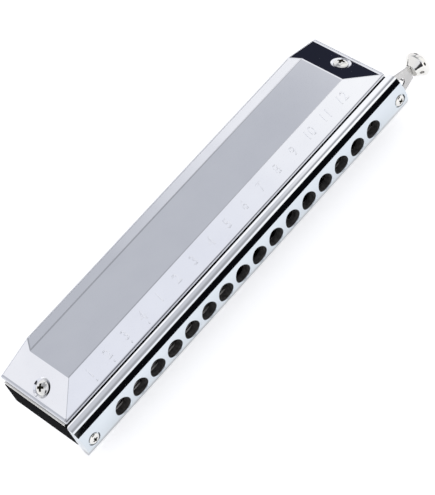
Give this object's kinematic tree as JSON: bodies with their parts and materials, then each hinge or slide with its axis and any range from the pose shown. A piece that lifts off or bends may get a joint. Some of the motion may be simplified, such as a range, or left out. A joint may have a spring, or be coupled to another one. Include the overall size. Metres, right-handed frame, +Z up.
{
  "type": "slide chromatic harmonica",
  "caption": "Slide chromatic harmonica: chromed covers over brass reed plates on a black comb, round-holed mouthpiece, sprung slide with a turned knob at one end",
  "frame": {"origin": "centre of the flat panel of the lower cover, which lies on the table", "axes": "+X along the instrument from the lowest notes to the slide's knob, -Y from the covers to the mouthpiece and the player's lips, +Z up through both covers"},
  "size_m": [0.1972, 0.0451, 0.0306],
  "materials": {
    "chrome": "bright polished chrome plate on pressed sheet and brass",
    "satin_steel": "satin nickel-plated sheet and steel wire",
    "brass": "ground brass sheet",
    "comb_plastic": "black moulded plastic",
    "silicone": "translucent soft tube"
  },
  "bodies": {
    "body": {"comb": "comb_plastic", "upper_reed_plate": "brass", "lower_reed_plate": "brass", "upper_cover": "chrome", "lower_cover": "chrome", "mouthpiece": "chrome", "slide_back_plate": "satin_steel", "slide_front_plate": "satin_steel", "mouthpiece_screw_left": "chrome", "mouthpiece_screw_right": "chrome", "mouthpiece_insert_left": "brass", "mouthpiece_insert_right": "brass", "bumper_left": "silicone", "bumper_right": "silicone", "cover_screw_upper_left": "chrome", "cover_screw_upper_right": "chrome", "cover_screw_lower_left": "chrome", "cover_screw_lower_right": "chrome", "return_spring": "satin_steel", "spring_pin": "satin_steel", "plate_screw_upper_1": "satin_steel", "plate_screw_upper_2": "satin_steel", "plate_screw_upper_3": "satin_steel", "plate_screw_upper_4": "satin_steel", "plate_screw_upper_5": "satin_steel", "plate_screw_upper_6": "satin_steel", "plate_screw_upper_7": "satin_steel", "plate_screw_lower_1": "satin_steel", "plate_screw_lower_2": "satin_steel", "plate_screw_lower_3": "satin_steel", "plate_screw_lower_4": "satin_steel", "plate_screw_lower_5": "satin_steel", "plate_screw_lower_6": "satin_steel", "plate_screw_lower_7": "satin_steel"},
    "slide": {"slide": "satin_steel", "knob": "chrome", "knob_pin": "satin_steel"}
  },
  "joints": [
    {"name": "slide_travel", "type": "slide", "parent": "body", "child": "slide", "axis": [-1, 0, 0], "range_m": [0, 0.0047], "stiffness_N_per_m": 250, "springref_m": -0.004, "deforming": ["return_spring"]}
  ]
}
